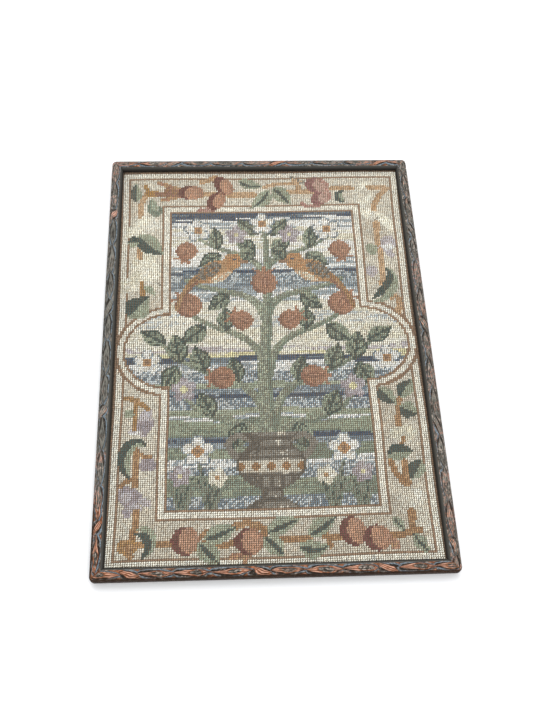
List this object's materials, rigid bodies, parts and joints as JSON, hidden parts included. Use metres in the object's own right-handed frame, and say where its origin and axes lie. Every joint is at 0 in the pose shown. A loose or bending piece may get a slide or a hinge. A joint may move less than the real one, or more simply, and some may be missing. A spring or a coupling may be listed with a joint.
{
  "type": "framed needlepoint in a carved wood frame",
  "caption": "Wool needlepoint panel stretched flat in a slim mitred frame carved with husk leaves, lying on its back.",
  "frame": {"origin": "middle of the back, on the surface that the frame lies on", "axes": "+Z out of the face, +Y towards the top of the picture, +X to the right of the picture"},
  "size_m": [0.3434, 0.4874, 0.014],
  "materials": {
    "wool_needlework": "matt wool stitches on canvas",
    "painted_carved_wood": "worn dark paint over copper, half gloss",
    "board_wood": "bare, matt"
  },
  "bodies": {
    "root": {"needlework": "wool_needlework", "rail_top": "painted_carved_wood", "rail_bottom": "painted_carved_wood", "rail_left": "painted_carved_wood", "rail_right": "painted_carved_wood", "back_board": "board_wood"}
  },
  "joints": []
}
